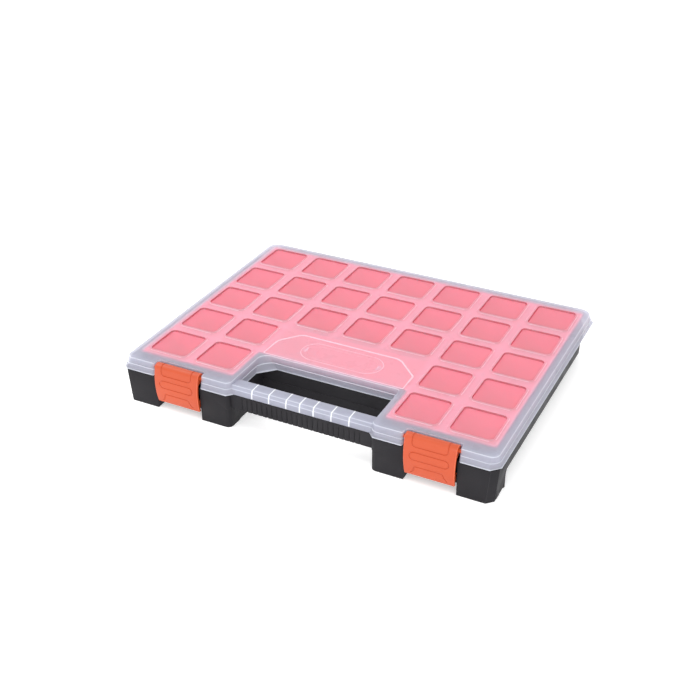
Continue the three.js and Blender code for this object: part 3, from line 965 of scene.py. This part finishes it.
def latch_form():
    """A latch round the middle of the case, cut across so that only the part below it narrows."""
    obj = prism("latch", latch_section, -LATCH_HALF, LATCH_HALF, orange, orange_edge_highlight)
    edit(obj)
    bpy.ops.mesh.select_all(action="SELECT")
    bpy.ops.mesh.bisect(plane_co=(0, 0, NARROW_FROM * MM), plane_no=(0, 0, 1))
    object_mode()
    for vertex in obj.data.vertices:
        part = (NARROW_FROM - vertex.co.z / MM) / (NARROW_FROM - LATCH_FOOT)
        below = min(1.0, max(0.0, part))
        vertex.co.x *= 1 - below * LATCH_NARROW / LATCH_HALF
    # The rounded edges take the paler orange, a painted highlight.
    soften(obj, 0.7, 3, 40, 1)
    for path, closed in ((tab, False), (slot, True), (arch, False)):
        boolean(obj, cutter(path, closed), solver="MANIFOLD")
    stubs = round_bar("stubs", STUB, STUB_HALF, 0, AXIS_Y, AXIS_Z, 20, orange)
    boolean(obj, stubs, "UNION", "MANIFOLD")
    smooth(obj, 40)
    return obj


latch_shape = latch_form()
for side, way in (("left", -1), ("right", 1)):
    latch = latch_shape.copy()
    latch.data = latch_shape.data.copy()
    latch.name = "orange_latch_" + side
    latch.location = (way * LATCH_X * MM, 0, 0)
    bpy.context.collection.objects.link(latch)
    finished(latch, "latch_" + side, "latch_orange", "latch_" + side)
bpy.data.objects.remove(latch_shape)

# %% [markdown]
# ## The hinge pins
# Each pin is a straight piece of cut wire, so the frame's own cylinder is already its whole shape. It
# only needs the finish of bare wire.

# %% Wire on the pins
for side in ("left", "right"):
    paint(nodes["hinge_pin_" + side], steel)
print("pins painted")

# %% [markdown]
# ## Floor, light and camera
# The case lies on a plain white floor that glows a little, so that it stays white up to the edge of
# the picture. An even surround, a broad light from the upper left and one from the front keep the
# shadows soft. The camera stands to the right of the front, looking down.

# %% Floor
FLOOR_SIZE, FLOOR_WHITE, FLOOR_MATT, FLOOR_GLOW = 12, 0.93, 0.9, 0.35
bpy.ops.object.select_all(action="DESELECT")
bpy.ops.mesh.primitive_plane_add(size=FLOOR_SIZE, location=(0, 0, 0))
floor = bpy.context.object
floor.name = "floor"
floor_material, _, floor_bsdf = shader("floor_white")
floor_bsdf.inputs["Base Color"].default_value = (FLOOR_WHITE, FLOOR_WHITE, FLOOR_WHITE, 1)
floor_bsdf.inputs["Roughness"].default_value = FLOOR_MATT
floor_bsdf.inputs["Emission Color"].default_value = (1, 1, 1, 1)
floor_bsdf.inputs["Emission Strength"].default_value = FLOOR_GLOW
paint(floor, floor_material)
print("floor", FLOOR_SIZE, "m wide")

# %% Lights
SURROUND, LAMP_SIZE, LAMP_POWER = 1.25, 1.0, 7
KEY_PLACE, FRONT_PLACE = (-0.9, -0.2, 1.3), (0.2, -1.8, 0.7)
world = bpy.data.worlds.new("surround")
world.use_nodes = True
background = world.node_tree.nodes["Background"]
background.inputs["Color"].default_value = (1, 1, 1, 1)
background.inputs["Strength"].default_value = SURROUND
bpy.context.scene.world = world


def area_light(name, place):
    """A soft lamp at `place`, pointed at the middle of the case."""
    data = bpy.data.lights.new(name, "AREA")
    data.size = LAMP_SIZE
    data.energy = LAMP_POWER
    light = bpy.data.objects.new(name, data)
    light.location = place
    light.rotation_euler = (-Vector(place)).to_track_quat("-Z", "Y").to_euler()
    bpy.context.collection.objects.link(light)


area_light("key", KEY_PLACE)
area_light("front", FRONT_PLACE)
print("lights", len(bpy.data.lights))

# %% Camera
CAMERA = (0.4061, -0.8407, 0.5825)
AZIMUTH, ELEVATION, ROLL = 26.865, 30.740, -0.4407
LENS, SENSOR = 55.63, 36
camera_data = bpy.data.cameras.new("camera")
camera_data.sensor_width = SENSOR
camera_data.lens = LENS
camera = bpy.data.objects.new("camera", camera_data)
turn = Matrix.Rotation(math.radians(AZIMUTH), 4, "Z")
tilt = Matrix.Rotation(math.radians(90 - ELEVATION), 4, "X")
roll = Matrix.Rotation(math.radians(ROLL), 4, "Z")
camera.matrix_world = Matrix.Translation(CAMERA) @ turn @ tilt @ roll
bpy.context.collection.objects.link(camera)
bpy.context.scene.camera = camera
bpy.context.scene.view_settings.view_transform = "Standard"
print("camera", LENS, "mm lens")
